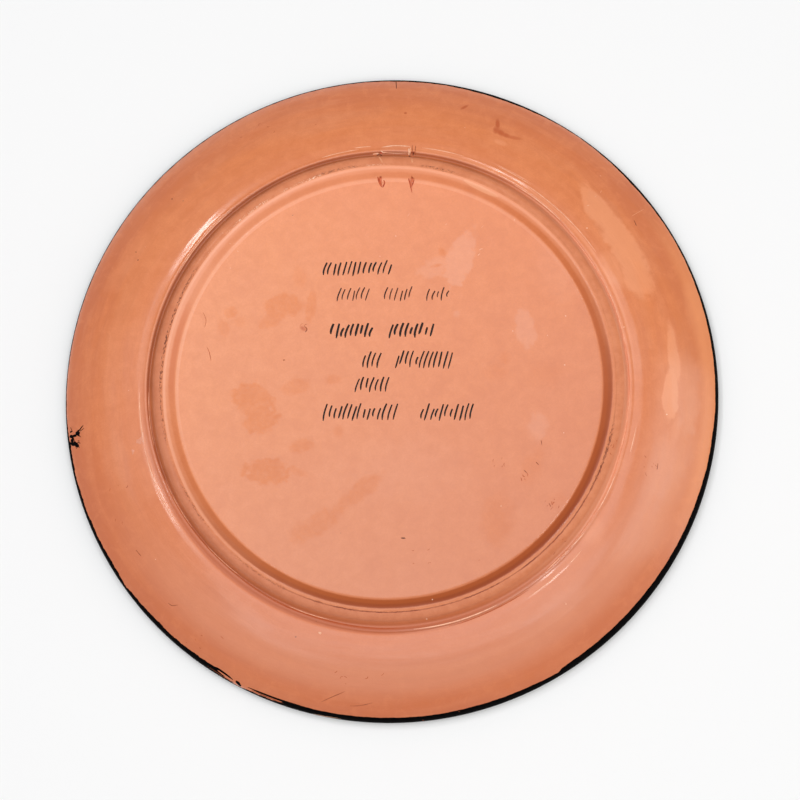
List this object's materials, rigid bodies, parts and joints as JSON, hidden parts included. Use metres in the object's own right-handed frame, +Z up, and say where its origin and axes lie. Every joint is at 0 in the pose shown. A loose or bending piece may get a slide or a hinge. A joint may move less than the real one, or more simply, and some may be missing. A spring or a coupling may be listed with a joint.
{
  "type": "terracotta souvenir plate, face down",
  "caption": "Round terracotta plate lying face down: foot ring with hanging holes, recessed base, beaded channel, broad flange and a black-glazed rolled rim.",
  "frame": {"origin": "on the floor, under the middle of the plate", "axes": "+Z up through the middle of the back, which faces up; +Y towards the side of the foot ring with the two hanging holes"},
  "size_m": [0.28, 0.28, 0.0254],
  "materials": {
    "varnished_terracotta": "orange clay under a thin semi-gloss varnish, unglazed worn foot ring, glossy black glaze on the front and lapping over the rim"
  },
  "bodies": {
    "root": {"plate": "varnished_terracotta"}
  },
  "joints": []
}
